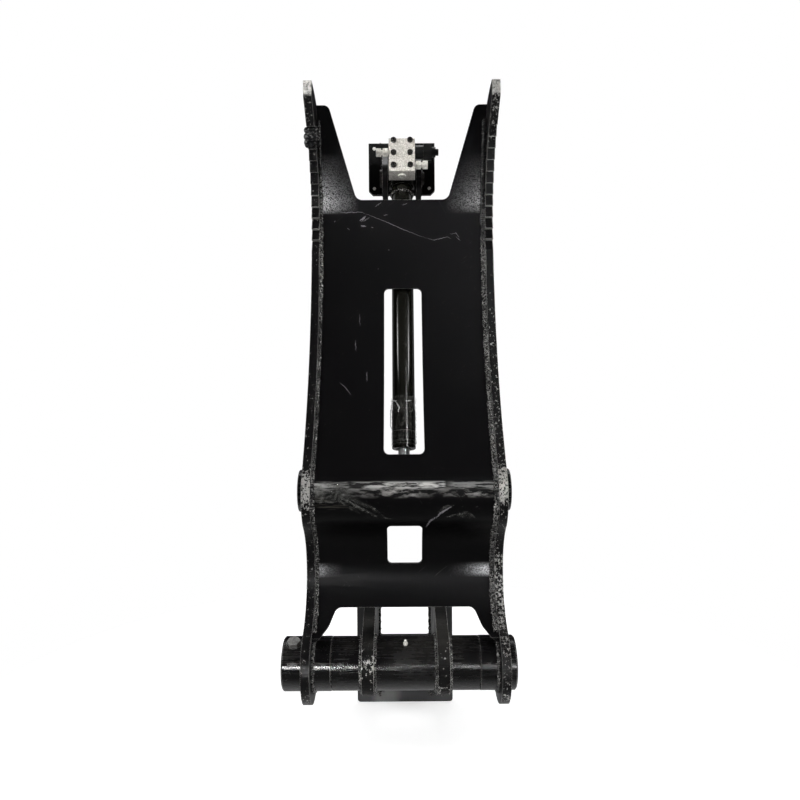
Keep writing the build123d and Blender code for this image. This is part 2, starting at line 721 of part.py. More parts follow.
def transport_caps():
    """Black caps on the valve block's ports."""
    flange = left_cap_diameter + 2
    left = [(left_cap_diameter, left_cap_length, False), (flange, left_cap_length / 5, False)]
    knob = right_cap_hex * 0.66
    right = [
        (right_cap_hex * 0.86, right_cap_length, False),
        (right_cap_hex, right_cap_length, True),
        (knob, right_cap_length * 0.45, False),
        (knob * 0.66, right_cap_length * 0.35, False),
    ]
    return {
        "port_cap_left": side_fitting(-1, left_cap_height, left),
        "port_cap_right": side_fitting(1, right_cap_height, right),
    }


def top_bracket():
    bottom = pivot[1] + top_plate_bottom
    middle = bottom + top_plate_height / 2
    plate = Pos(0, middle) * Rectangle(top_plate_width, top_plate_height)
    plate = chamfer(plate.vertices().sort_by(Axis.Y)[:2], top_plate_chamfer)
    plate = extrude(Plane.XZ * plate, top_plate)
    bolts = Part()
    for side_x in (-1, 1):
        for side_z in (-1, 1):
            spot = (
                side_x * (top_plate_width / 2 - top_bolt_inset),
                middle + side_z * (top_plate_height / 2 - top_bolt_inset),
            )
            bolt_frame = Plane(origin=(spot[0], 0, spot[1]), x_dir=(1, 0, 0), z_dir=(0, -1, 0))
            plate -= bar(bolt_frame, top_bolt_diameter + 2 * fixed_clearance, 0, top_plate)
            bolts += bar(bolt_frame, top_bolt_diameter, 0, top_plate)
            bolts += hex_head(bolt_frame, top_bolt_diameter, top_plate)
    high = middle + top_plate_height / 2 - top_lug_top_margin
    lug = tangent_lug(base_pin, top_lug_radius, -top_plate, pivot[1] + top_lug_foot, high)
    bore = cross_pin_diameter + 2 * fixed_clearance
    lug -= Pos(*base_pin) * Circle(bore / 2)
    inner = top_lug_spacing / 2
    outer = inner + top_lug
    clip_start = outer + clip_offset
    head_rim = cross_pin_diameter + 2 * base_pin_head_rim
    pin = tube(cross_pin_diameter, 0, -outer, outer + base_pin_end, base_pin)
    pin += tube(head_rim, 0, -outer - base_pin_head, -outer, base_pin)
    return {
        "top_plate": plate,
        "top_bracket_bolts": bolts,
        "top_lug_left": across(lug, -outer, top_lug),
        "top_lug_right": across(lug, inner, top_lug),
        "base_pin": pin - clip_groove(clip_start, base_pin),
        "base_pin_clip": retaining_ring(clip_start, base_pin, 0),
    }


def build():
    pieces = {"face_plate": bent_face_plate()}
    pieces |= side_plates()
    pieces |= pivot_parts()
    pieces |= cross_pin_parts()
    pieces |= base_bracket()
    pieces |= rod_parts()
    pieces |= barrel_parts()
    pieces |= valve_parts()
    pieces |= transport_caps()
    pieces |= top_bracket()
    return pieces


os.makedirs("parts", exist_ok=True)
for name, piece in build().items():
    export_step(piece, f"parts/{name}.step")
print(f"cylinder {cylinder_length:.1f} mm between pins, leaning {cylinder_lean:.2f} degrees")
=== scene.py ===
import json
from math import cos, pi, radians, sin
from random import Random

import bmesh
import bpy
from mathutils import Euler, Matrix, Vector, noise


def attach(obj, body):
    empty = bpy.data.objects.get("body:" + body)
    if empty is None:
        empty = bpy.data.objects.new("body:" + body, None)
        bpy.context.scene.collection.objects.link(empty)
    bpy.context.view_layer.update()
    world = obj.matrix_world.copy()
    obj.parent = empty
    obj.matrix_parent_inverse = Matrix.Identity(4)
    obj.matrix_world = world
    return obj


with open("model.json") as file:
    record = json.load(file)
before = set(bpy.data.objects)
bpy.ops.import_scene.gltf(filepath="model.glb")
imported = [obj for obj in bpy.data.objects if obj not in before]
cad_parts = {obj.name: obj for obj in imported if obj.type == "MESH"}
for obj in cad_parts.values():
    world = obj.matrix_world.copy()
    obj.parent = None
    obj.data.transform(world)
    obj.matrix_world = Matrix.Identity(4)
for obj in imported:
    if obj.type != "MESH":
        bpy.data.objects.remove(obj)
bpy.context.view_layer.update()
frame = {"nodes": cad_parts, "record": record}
nodes = frame["nodes"]
scene = bpy.context.scene
print("frame loaded", len(nodes), "nodes")

# Places taken from the part, in metres
pivotAxis = Vector((0, -0.305, 0.055))
crossPinAxis = Vector((0, -0.243, 0.405))
cylinderLean = radians(14.71)
alongCylinder = Vector((0, sin(cylinderLean), cos(cylinderLean)))
cameraSettings = {"place": (-0.008, -1.758, 0.600), "lens": 31.5, "roll": 0.38}
cameraTurn = Euler((radians(90), radians(cameraSettings["roll"]), 0), "XYZ").to_matrix()


# Node helpers

def addNode(tree, kind, inputs=None, **settings):
    made = tree.nodes.new(kind)
    for key, value in settings.items():
        setattr(made, key, value)
    for key, value in (inputs or {}).items():
        if isinstance(value, bpy.types.NodeSocket):
            tree.links.new(value, made.inputs[key])
        else:
            made.inputs[key].default_value = value
    return made


def calc(tree, operation, first, second=0.0, third=None, clamp=False):
    inputs = {0: first, 1: second}
    if third is not None:
        inputs[2] = third
    return addNode(tree, "ShaderNodeMath", inputs, operation=operation, use_clamp=clamp).outputs[0]


def blendColor(tree, mask, first, second):
    mixer = addNode(tree, "ShaderNodeMix", {0: mask, 6: first, 7: second}, data_type="RGBA")
    return mixer.outputs[2]


def remap(tree, value, low, high, toLow=0.0, toHigh=1.0):
    made = addNode(
        tree, "ShaderNodeMapRange", {0: value, 1: low, 2: high, 3: toLow, 4: toHigh}, clamp=True
    )
    return made.outputs[0]


def fieldNoise(tree, place, scale, detail=3.0, roughness=0.55):
    made = addNode(
        tree, "ShaderNodeTexNoise",
        {"Vector": place, "Scale": scale, "Detail": detail, "Roughness": roughness},
    )
    return made.outputs["Fac"]


def stretch(tree, place, scale):
    made = addNode(tree, "ShaderNodeVectorMath", {0: place, 1: scale}, operation="MULTIPLY")
    return made.outputs[0]


def startGroup(name, inputs, outputs):
    group = bpy.data.node_groups.new(name, "ShaderNodeTree")
    for label, kind, default in inputs:
        socket = group.interface.new_socket(label, in_out="INPUT", socket_type=kind)
        if default is not None:
            socket.default_value = default
    for label, kind in outputs:
        group.interface.new_socket(label, in_out="OUTPUT", socket_type=kind)
    start = group.nodes.new("NodeGroupInput")
    end = group.nodes.new("NodeGroupOutput")
    return group, start.outputs, end.inputs


def useGroup(tree, group, inputs):
    return addNode(tree, "ShaderNodeGroup", inputs, node_tree=group).outputs


# Shared shader groups

def makeEdgeWearGroup():
    # Mask that is high along edges, broken up by noise
    floatIn = "NodeSocketFloat"
    group, given, result = startGroup(
        "edgeWear",
        [("Place", "NodeSocketVector", None), ("Radius", floatIn, 0.002),
         ("Amount", floatIn, 0.5), ("Patchiness", floatIn, 40.0)],
        [("Mask", floatIn)],
    )
    rounded = addNode(group, "ShaderNodeBevel", {"Radius": given["Radius"]}, samples=4)
    flat = addNode(group, "ShaderNodeNewGeometry")
    bend = addNode(
        group, "ShaderNodeVectorMath", {0: rounded.outputs[0], 1: flat.outputs["Normal"]},
        operation="DOT_PRODUCT",
    )
    edge = remap(group, bend.outputs["Value"], 0.999, 0.86)
    patches = fieldNoise(group, given["Place"], given["Patchiness"], 5.0, 0.65)
    threshold = calc(group, "SUBTRACT", 1.0, given["Amount"])
    worn = remap(group, calc(group, "MULTIPLY", edge, calc(group, "ADD", patches, 0.5)),
                 threshold, calc(group, "ADD", threshold, 0.12))
    group.links.new(worn, result["Mask"])
    return group


def makeDustGroup():
    # Thin dust on upper faces and in a fine speckle
    floatIn = "NodeSocketFloat"
    group, given, result = startGroup(
        "dust",
        [("Place", "NodeSocketVector", None), ("Amount", floatIn, 0.3)],
        [("Mask", floatIn)],
    )
    surface = addNode(group, "ShaderNodeNewGeometry")
    parts = addNode(group, "ShaderNodeSeparateXYZ", {0: surface.outputs["Normal"]})
    facingUp = remap(group, parts.outputs["Z"], 0.1, 0.95, 0.12, 1.0)
    cloud = remap(group, fieldNoise(group, given["Place"], 9.0, 5.0), 0.42, 0.75)
    speck = remap(group, fieldNoise(group, given["Place"], 900.0, 1.0), 0.70, 0.76)
    film = calc(group, "MULTIPLY", facingUp, calc(group, "MULTIPLY", cloud, given["Amount"]))
    grit = calc(group, "MULTIPLY", speck, calc(group, "MULTIPLY", given["Amount"], 0.5))
    group.links.new(calc(group, "MAXIMUM", film, grit, clamp=True), result["Mask"])
    return group


def makeScratchGroup():
    # Fine random scratches from two stretched noises
    floatIn = "NodeSocketFloat"
    group, given, result = startGroup(
        "fineScratches",
        [("Place", "NodeSocketVector", None), ("Amount", floatIn, 0.4)],
        [("Mask", floatIn)],
    )
    total = None
    for turn, thin, thick in ((0.5, 620.0, 5.0), (-0.9, 480.0, 7.0)):
        turned = addNode(
            group, "ShaderNodeVectorRotate", {"Vector": given["Place"], "Angle": turn},
            rotation_type="Y_AXIS",
        )
        lines = fieldNoise(group, stretch(group, turned.outputs[0], (thin, thin, thick)), 1.0, 1.0)
        found = remap(group, lines, 0.72, 0.78)
        total = found if total is None else calc(group, "MAXIMUM", total, found)
    broken = remap(group, fieldNoise(group, given["Place"], 14.0, 2.0), 0.50, 0.62)
    masked = calc(group, "MULTIPLY", total, broken)
    group.links.new(calc(group, "MULTIPLY", masked, given["Amount"], clamp=True), result["Mask"])
    return group


def makeGrainGroup():
    # Height of sprayed paint over rolled plate
    floatIn = "NodeSocketFloat"
    group, given, result = startGroup(
        "sprayGrain",
        [("Place", "NodeSocketVector", None), ("Peel", floatIn, 350.0), ("Waviness", floatIn, 12.0)],
        [("Height", floatIn)],
    )
    peel = fieldNoise(group, given["Place"], given["Peel"], 2.0)
    wave = fieldNoise(group, given["Place"], given["Waviness"], 2.0)
    mixed = calc(group, "ADD", calc(group, "MULTIPLY", peel, 0.35), calc(group, "MULTIPLY", wave, 1.6))
    group.links.new(mixed, result["Height"])
    return group


edgeWearGroup = makeEdgeWearGroup()
dustGroup = makeDustGroup()
scratchGroup = makeScratchGroup()
grainGroup = makeGrainGroup()


def addObject(name, data):
    piece = bpy.data.objects.new(name, data)
    scene.collection.objects.link(piece)
    return piece


def emptyTree(owner):
    owner.use_nodes = True
    owner.node_tree.nodes.clear()
    return owner.node_tree


def startMaterial(name):
    material = bpy.data.materials.new(name)
    material.use_nodes = True
    tree = material.node_tree
    shader = tree.nodes["Principled BSDF"]
    place = addNode(tree, "ShaderNodeTexCoord").outputs["Object"]
    return material, tree, shader, place


def link(tree, source, shader, socket):
    tree.links.new(source, shader.inputs[socket])


def facing(tree, axis, low, high):
    # Mask of how far a surface faces along one axis
    surface = addNode(tree, "ShaderNodeNewGeometry")
    parts = addNode(tree, "ShaderNodeSeparateXYZ", {0: surface.outputs["Normal"]})
    return remap(tree, parts.outputs[axis], low, high)


def along(tree, place, axis):
    return addNode(tree, "ShaderNodeSeparateXYZ", {0: place}).outputs[axis]


def bandRamp(tree, value, stops):
    # Strength along one axis from stops given as (place in metres, strength)
    low, span = stops[0][0], stops[-1][0] - stops[0][0]
    share = calc(tree, "DIVIDE", calc(tree, "SUBTRACT", value, low), span)
    ramp = addNode(tree, "ShaderNodeValToRGB", {0: share})
    band = ramp.color_ramp
    band.elements[0].color = (stops[0][1],) * 3 + (1,)
    band.elements[1].color = (stops[-1][1],) * 3 + (1,)
    for place, strength in stops[1:-1]:
        stop = band.elements.new((place - low) / span)
        stop.color = (strength,) * 3 + (1,)
    return ramp.outputs["Color"]


def allOf(tree, *masks):
    total = masks[0]
    for mask in masks[1:]:
        total = calc(tree, "MULTIPLY", total, mask)
    return total


# Materials

paintLook = {
    "plate": {"color": (0.0034, 0.0031, 0.0036, 1), "gloss": (0.29, 0.37), "specular": 0.36,
              "wear": 0.30, "wearRadius": 0.0014, "dust": 0.05, "scratches": 0.22, "peel": 420.0,
              "bump": 0.10, "streaks": 0.0},
    "face": {"color": (0.0034, 0.0031, 0.0036, 1), "gloss": (0.29, 0.37), "specular": 0.32,
             "wear": 0.10, "wearRadius": 0.0010, "dust": 0.0, "scratches": 0.22, "peel": 420.0,
             "bump": 0.10, "streaks": 0.0},
    "hub": {"color": (0.0040, 0.0038, 0.0040, 1), "gloss": (0.13, 0.32), "specular": 0.75,
            "wear": 0.34, "wearRadius": 0.0014, "dust": 0.12, "scratches": 0.45, "peel": 300.0,
            "bump": 0.14, "streaks": 0.6},
    "lug": {"color": (0.0060, 0.0060, 0.0062, 1), "gloss": (0.34, 0.55), "specular": 0.12,
            "wear": 0.36, "wearRadius": 0.0018, "dust": 0.20, "scratches": 0.50, "peel": 300.0,
            "bump": 0.20, "streaks": 0.0},
    # Painted light: the base plate's paint is a lighter grey than the other black paint, standing in for
    # light on its front
    "basePlate": {"color": (0.050, 0.050, 0.052, 1), "gloss": (0.30, 0.50), "specular": 0.5,
                  "wear": 0.40, "wearRadius": 0.0020, "dust": 0.50, "scratches": 0.60, "peel": 260.0,
                  "bump": 0.22, "streaks": 0.0},
    "rear": {"color": (0.0030, 0.0028, 0.0028, 1), "gloss": (0.34, 0.50), "specular": 0.22,
             "wear": 0.10, "wearRadius": 0.0010, "dust": 0.03, "scratches": 0.20, "peel": 420.0,
             "bump": 0.12, "streaks": 0.0},
    "cylinder": {"color": (0.0060, 0.0062, 0.0038, 1), "gloss": (0.12, 0.20), "specular": 0.60,
                 "wear": 0.12, "wearRadius": 0.0008, "dust": 0.10, "scratches": 0.30, "peel": 500.0,
                 "bump": 0.05, "streaks": 0.0},
    "weld": {"color": (0.0050, 0.0050, 0.0055, 1), "gloss": (0.14, 0.34), "specular": 0.5,
             "wear": 0.0, "wearRadius": 0.0010, "dust": 0.10, "scratches": 0.0, "peel": 700.0,
             "bump": 0.30, "streaks": 0.0},
}


paintShades = {"scratch": (0.16, 0.16, 0.15, 1), "dust": (0.20, 0.19, 0.17, 1),
               "dullSteel": (0.34, 0.33, 0.31, 1), "brightSteel": (0.85, 0.84, 0.81, 1)}
paintScales = {"cloud": 6.0, "wear": 60.0, "steel": 160.0, "gloss": 18.0}


def makePaint(name, look, extraWearAndGlints=None, marks=None, cutEdges=False):
    material, tree, shader, place = startMaterial(name)
    cloud = fieldNoise(tree, place, paintScales["cloud"], 4.0)
    dust = useGroup(tree, dustGroup, {"Place": place, "Amount": look["dust"]})["Mask"]
    scratches = useGroup(tree, scratchGroup, {"Place": place, "Amount": look["scratches"]})["Mask"]
    worn = useGroup(tree, edgeWearGroup, {
        "Place": place, "Radius": look["wearRadius"], "Amount": look["wear"],
        "Patchiness": paintScales["wear"],
    })["Mask"]
    # For the weld paints this wear mask also carries painted glints
    if extraWearAndGlints:
        worn = calc(tree, "MAXIMUM", worn, extraWearAndGlints(tree, place), clamp=True)
    deep = tuple(c * 0.6 for c in look["color"][:3]) + (1,)
    color = blendColor(tree, cloud, deep, look["color"])
    color = blendColor(tree, scratches, color, paintShades["scratch"])
    color = blendColor(tree, dust, color, paintShades["dust"])
    dulled = calc(tree, "MAXIMUM", dust, scratches)
    # For the face plate these marks include painted highlights as well as rubbed paint and a smear
    for mask, shade in marks(tree, place) if marks else []:
        color = blendColor(tree, mask, color, shade)
        dulled = calc(tree, "MAXIMUM", dulled, mask)
    bare = fieldNoise(tree, place, paintScales["steel"], 3.0)
    steel = blendColor(tree, bare, paintShades["dullSteel"], paintShades["brightSteel"])
    link(tree, blendColor(tree, worn, color, steel), shader, "Base Color")
    low, high = look["gloss"]
    blotches = fieldNoise(tree, place, paintScales["gloss"], 5.0, 0.62)
    rough = remap(tree, blotches, 0.3, 0.7, low, high)
    if look["streaks"]:
        lines = fieldNoise(tree, stretch(tree, place, (9.0, 210.0, 210.0)), 1.0, 3.0, 0.6)
        lines = calc(tree, "SUBTRACT", lines, 0.5)
        rough = calc(tree, "ADD", rough, calc(tree, "MULTIPLY", lines, look["streaks"]))
    rough = calc(tree, "ADD", rough, calc(tree, "MULTIPLY", dulled, 0.30), clamp=True)
    link(tree, rough, shader, "Roughness")
    link(tree, calc(tree, "MULTIPLY", worn, 0.45), shader, "Metallic")
    shader.inputs["Specular IOR Level"].default_value = look["specular"]
    height = useGroup(tree, grainGroup, {"Place": place, "Peel": look["peel"]})["Height"]
    if cutEdges:
        lines = fieldNoise(tree, stretch(tree, place, (14.0, 700.0, 700.0)), 1.0, 2.0)
        scallops = fieldNoise(tree, stretch(tree, place, (20.0, 90.0, 90.0)), 1.0, 2.0)
        surface = addNode(tree, "ShaderNodeNewGeometry")
        sideways = calc(tree, "ABSOLUTE", along(tree, surface.outputs["Normal"], "X"))
        onEdge = remap(tree, sideways, 0.6, 0.3)
        grooves = calc(tree, "ADD", lines, calc(tree, "MULTIPLY", scallops, 2.0))
        cut = calc(tree, "MULTIPLY", grooves, onEdge)
        height = calc(tree, "ADD", height, calc(tree, "MULTIPLY", cut, 2.2))
    height = calc(tree, "SUBTRACT", height, calc(tree, "MULTIPLY", worn, 0.5))
    bump = addNode(tree, "ShaderNodeBump", {"Strength": look["bump"], "Distance": 0.004, "Height": height})
    link(tree, bump.outputs[0], shader, "Normal")
    return material


tipHeights = (1.243, 1.248)
frontFacing = ("Y", -0.35, -0.7)


def plateWear(settings):
    # Bare patches on a side plate's front edge, bare tooth ledges and a scuffed tip
    def build(tree, place):
        height = along(tree, place, "Z")
        front = facing(tree, *frontFacing)
        patches = fieldNoise(tree, stretch(tree, place, (1.0, 1.0, 0.7)), 210.0, 4.0, 0.7)
        limit = calc(tree, "SUBTRACT", 1.0, bandRamp(tree, height, settings["bands"]))
        spots = allOf(tree, remap(tree, patches, limit, calc(tree, "ADD", limit, 0.05)), front)
        scuffed = remap(tree, fieldNoise(tree, place, 190.0, 3.0), 0.32, 0.42, 0.25, 1.0)
        low, high = settings["toothed"]
        toothed = allOf(tree, remap(tree, height, low, low + 0.01),
                        remap(tree, height, high + 0.01, high))
        ledges = allOf(tree, facing(tree, "Z", -0.35, -0.6), scuffed, toothed, settings["ledges"])
        cloud = remap(tree, fieldNoise(tree, place, 240.0, 4.0), 0.38, 0.54, 0.30, 1.0)
        tip = allOf(tree, remap(tree, height, *tipHeights), front, cloud)
        corners = useGroup(tree, edgeWearGroup, {
            "Place": place, "Radius": 0.0032, "Amount": settings["corners"], "Patchiness": 90.0,
        })["Mask"]
        corners = allOf(tree, corners, toothed)
        worn = calc(tree, "MAXIMUM", calc(tree, "MAXIMUM", spots, ledges), tip)
        return calc(tree, "MAXIMUM", worn, corners)
    return build


plateWearSettings = {
    "left": {"ledges": 0.40, "toothed": (0.88, 1.08), "corners": 0.22,
             "bands": [(-0.02, 0.44), (0.04, 0.36), (0.14, 0.38), (0.24, 0.38), (0.36, 0.36),
                       (0.405, 0.57), (0.445, 0.56), (0.47, 0.38), (0.70, 0.36), (0.95, 0.34),
                       (1.15, 0.38), (1.25, 0.42)]},
    "right": {"ledges": 1.0, "toothed": (0.88, 1.185), "corners": 0.48,
              "bands": [(-0.02, 0.46), (0.06, 0.40), (0.115, 0.46), (0.14, 0.49), (0.26, 0.49),
                        (0.29, 0.40), (0.385, 0.42), (0.40, 0.56), (0.45, 0.55), (0.47, 0.42),
                        (0.80, 0.40), (0.90, 0.30), (1.15, 0.30), (1.18, 0.42), (1.25, 0.46)]},
}


def lugWear(bands):
    def build(tree, place):
        patches = fieldNoise(tree, place, 110.0, 4.0, 0.7)
        limit = calc(tree, "SUBTRACT", 1.0, bandRamp(tree, along(tree, place, "Z"), bands))
        worn = remap(tree, patches, limit, calc(tree, "ADD", limit, 0.05))
        return allOf(tree, worn, facing(tree, *frontFacing))
    return build


# Bands blended into the face plate's colour: painted highlights, partly rubbed paint, and a smear
faceMarksAndHighlights = {
    # Painted highlight along the top of the ridge bend, mixed with rubbed paint
    "ridgeTop": {
        "height": [(0.419, 0.0), (0.425, 1.0), (0.432, 1.0), (0.437, 0.0)],
        "width": [(-0.19, 0.80), (-0.13, 0.25), (-0.09, 0.6), (-0.03, 0.9), (0.0, 1.0), (0.078, 1.0),
                  (0.084, 0.05), (0.10, 0.35), (0.19, 0.35)],
        "stretch": (26.0, 240.0, 240.0), "detail": (4.0, 0.6), "cut": (0.44, 0.52, 0.04, 1.0),
        "strength": 0.95, "color": (0.62, 0.62, 0.60, 1)},
    # Painted highlight on the front of the ridge bend, mixed with rubbed paint
    "ridgeFront": {
        "height": [(0.402, 0.0), (0.410, 0.9), (0.420, 1.0), (0.428, 0.0)],
        "width": [(-0.19, 0.55), (-0.11, 0.25), (-0.05, 0.5), (-0.022, 1.0), (0.018, 1.0),
                  (0.035, 0.30), (0.09, 0.35), (0.11, 0.75), (0.17, 0.75), (0.19, 0.4)],
        "stretch": (30.0, 60.0, 90.0), "detail": (4.0, 0.65), "cut": (0.47, 0.60),
        "strength": 0.80, "color": (0.46, 0.45, 0.43, 1)},
    "smear": {
        "height": [(0.375, 0.0), (0.390, 0.9), (0.405, 0.4), (0.41, 0.0)],
        "width": [(-0.19, 1.0), (-0.12, 0.9), (-0.09, 0.0), (0.19, 0.0)],
        "stretch": (26.0, 240.0, 240.0), "detail": (4.0, 0.6), "cut": (0.50, 0.62),
        "strength": 0.35, "color": (0.22, 0.21, 0.17, 1)},
    # Painted highlight: a near-white band in the hollow bend beside both side plates
    "hollowHighlights": {
        "height": [(0.222, 0.0), (0.232, 0.9), (0.243, 1.0), (0.256, 0.0)],
        "width": [(-0.19, 1.0), (-0.178, 0.6), (-0.160, 0.16), (-0.13, 0.0), (0.09, 0.0),
                  (0.125, 0.12), (0.155, 0.6), (0.175, 1.0), (0.19, 1.0)],
        "stretch": (420.0, 420.0, 420.0), "detail": (2.0, 0.55), "cut": (0.44, 0.56, 0.45, 1.0),
        "power": 1.3, "color": (0.95, 0.96, 0.98, 1)},
    # Painted highlight: a pale band on the wing bends beside both side plates
    "wingHighlights": {
        "height": [(1.028, 0.0), (1.042, 0.8), (1.055, 1.0), (1.080, 0.6), (1.110, 0.22), (1.16, 0.0)],
        "width": [(-0.185, 1.0), (-0.165, 0.6), (-0.14, 0.22), (-0.10, 0.0), (0.10, 0.0),
                  (0.14, 0.14), (0.165, 0.34), (0.185, 0.58)],
        "stretch": (480.0, 480.0, 480.0), "detail": (2.0, 0.55), "cut": (0.44, 0.56, 0.04, 1.0),
        "color": (0.90, 0.90, 0.91, 1)},
}


def ridgeMarksAndHighlights(tree, place):
    # Painted highlights along the ridge bend, mixed with rubbed paint, a smear at the left, and painted
    # highlights in the hollow and on the wings near the side plates
    width, height = along(tree, place, "X"), along(tree, place, "Z")
    marks = []
    for mark in faceMarksAndHighlights.values():
        field = fieldNoise(tree, stretch(tree, place, mark["stretch"]), 1.0, *mark["detail"])
        mask = allOf(tree, bandRamp(tree, height, mark["height"]), remap(tree, field, *mark["cut"]),
                     bandRamp(tree, width, mark["width"]))
        if "power" in mark:
            mask = calc(tree, "POWER", mask, mark["power"])
        marks.append((calc(tree, "MULTIPLY", mask, mark.get("strength", 1.0)), mark["color"]))
    return marks


def footMarks(tree, place):
    # Paler rubbed patch low on the base plate
    width = along(tree, place, "X")
    patch = fieldNoise(tree, stretch(tree, place, (40.0, 40.0, 25.0)), 1.0, 3.0)
    zone = bandRamp(tree, width,
                    [(-0.085, 0.0), (-0.066, 1.0), (-0.03, 1.0), (-0.006, 0.0), (0.10, 0.0)])
    low = remap(tree, along(tree, place, "Z"), -0.105, -0.112)
    rubbed = allOf(tree, remap(tree, patch, 0.36, 0.50), zone, low, facing(tree, *frontFacing), 0.75)
    return [(rubbed, (0.20, 0.20, 0.20, 1))]


def faintGlints(tree, place):
    # A few painted glints: bare-steel specks on painted spatter
    return allOf(tree, remap(tree, fieldNoise(tree, place, 260.0, 3.0, 0.7), 0.64, 0.70), 0.6)


# Strength of the painted glints by height, on the left and right seams
glintBands = {
    "left": [(0.38, 0.9), (0.42, 0.4), (0.80, 0.5), (0.86, 1.0), (1.10, 1.0), (1.14, 0.2)],
    "right": [(0.42, 0.9), (0.95, 0.9), (1.01, 0.1), (1.20, 0.1)],
}


def weldGlints(tree, place):
    # Painted glints: bright bare-steel specks on a bead, stronger or weaker by height and side
    grains = remap(tree, fieldNoise(tree, place, 330.0, 3.0, 0.7), 0.53, 0.59)
    runs = remap(tree, fieldNoise(tree, place, 28.0, 2.0), 0.34, 0.56, 0.25, 1.0)
    height = along(tree, place, "Z")
    left = bandRamp(tree, height, glintBands["left"])
    right = bandRamp(tree, height, glintBands["right"])
    onRight = calc(tree, "GREATER_THAN", along(tree, place, "X"), 0.1)
    onLeft = calc(tree, "LESS_THAN", along(tree, place, "X"), -0.1)
    side = calc(tree, "ADD", allOf(tree, right, onRight), allOf(tree, left, onLeft))
    inner = calc(tree, "SUBTRACT", 1.0, calc(tree, "ADD", onRight, onLeft))
    return allOf(tree, grains, runs, calc(tree, "ADD", side, inner), 0.9)


def makeMetal(name, look):
    # Bare, plated or cast metal with grain, stains and worn edges
    material, tree, shader, place = startMaterial(name)
    stains = fieldNoise(tree, place, look["stainScale"], 5.0, 0.6)
    grain = fieldNoise(tree, stretch(tree, place, look["grain"]), 1.0, 2.0)
    color = blendColor(tree, remap(tree, stains, 0.35, 0.68), look["color"], look["stain"])
    dirt = useGroup(tree, dustGroup, {"Place": place, "Amount": look["dust"]})["Mask"]
    color = blendColor(tree, dirt, color, look["dirt"])
    edge = useGroup(tree, edgeWearGroup, {
        "Place": place, "Radius": 0.0009, "Amount": 0.4, "Patchiness": 120.0,
    })["Mask"]
    link(tree, blendColor(tree, edge, color, look["edge"]), shader, "Base Color")
    low, high = look["gloss"]
    mixed = calc(tree, "ADD", stains, calc(tree, "MULTIPLY", grain, 0.4))
    link(tree, remap(tree, mixed, 0.4, 0.95, low, high), shader, "Roughness")
    shader.inputs["Metallic"].default_value = look["metallic"]
    bump = addNode(tree, "ShaderNodeBump", {"Strength": look["bump"], "Distance": 0.001, "Height": grain})
    link(tree, bump.outputs[0], shader, "Normal")
    return material


metalLook = {
    "machinedSteel": {"color": (0.4, 0.39, 0.38, 1), "stain": (0.22, 0.2, 0.18, 1),
                      "edge": (0.6, 0.6, 0.58, 1), "dirt": (0.05, 0.045, 0.04, 1), "stainScale": 60.0,
                      "grain": (900.0, 900.0, 60.0), "gloss": (0.24, 0.5), "metallic": 1.0, "bump": 0.25,
                      "dust": 0.6},
    "zincPlate": {"color": (0.95, 0.93, 0.88, 1), "stain": (0.5, 0.48, 0.43, 1),
                  "edge": (0.96, 0.95, 0.9, 1), "dirt": (0.2, 0.18, 0.15, 1), "stainScale": 150.0,
                  "grain": (500.0, 500.0, 500.0), "gloss": (0.12, 0.26), "metallic": 0.0, "bump": 0.12,
                  "dust": 0.15},
    "dullZinc": {"color": (0.3, 0.3, 0.29, 1), "stain": (0.12, 0.115, 0.11, 1),
                 "edge": (0.7, 0.69, 0.67, 1), "dirt": (0.05, 0.05, 0.05, 1), "stainScale": 190.0,
                 "grain": (500.0, 500.0, 500.0), "gloss": (0.22, 0.42), "metallic": 0.6, "bump": 0.2,
                 "dust": 0.5},
    "valveSteel": {"color": (0.97, 0.94, 0.88, 1), "stain": (0.31, 0.28, 0.24, 1),
                   "edge": (0.9, 0.87, 0.82, 1), "dirt": (0.12, 0.11, 0.1, 1), "stainScale": 420.0,
                   "grain": (350.0, 350.0, 1400.0), "gloss": (0.3, 0.5), "metallic": 0.12, "bump": 0.3,
                   "dust": 0.8},
    # Painted reflection: hard chrome is drawn pale and mostly non-metallic, so its brightness stands in for
    # the rod's reflection
    "hardChrome": {"color": (0.9, 0.9, 0.9, 1), "stain": (0.62, 0.62, 0.62, 1),
                   "edge": (0.8, 0.8, 0.8, 1), "dirt": (0.2, 0.2, 0.19, 1), "stainScale": 40.0,
                   "grain": (60.0, 60.0, 1600.0), "gloss": (0.05, 0.12), "metallic": 0.2, "bump": 0.04,
                   "dust": 0.15},
    "blackOxide": {"color": (0.028, 0.027, 0.027, 1), "stain": (0.05, 0.045, 0.04, 1),
                   "edge": (0.25, 0.24, 0.23, 1), "dirt": (0.12, 0.11, 0.1, 1), "stainScale": 120.0,
                   "grain": (600.0, 600.0, 600.0), "gloss": (0.3, 0.5), "metallic": 0.8, "bump": 0.15,
                   "dust": 0.4},
    "bronzeBush": {"color": (0.46, 0.28, 0.12, 1), "stain": (0.28, 0.17, 0.08, 1),
                   "edge": (0.6, 0.4, 0.2, 1), "dirt": (0.06, 0.05, 0.04, 1), "stainScale": 80.0,
                   "grain": (800.0, 100.0, 100.0), "gloss": (0.28, 0.5), "metallic": 1.0, "bump": 0.15,
                   "dust": 0.3},
}


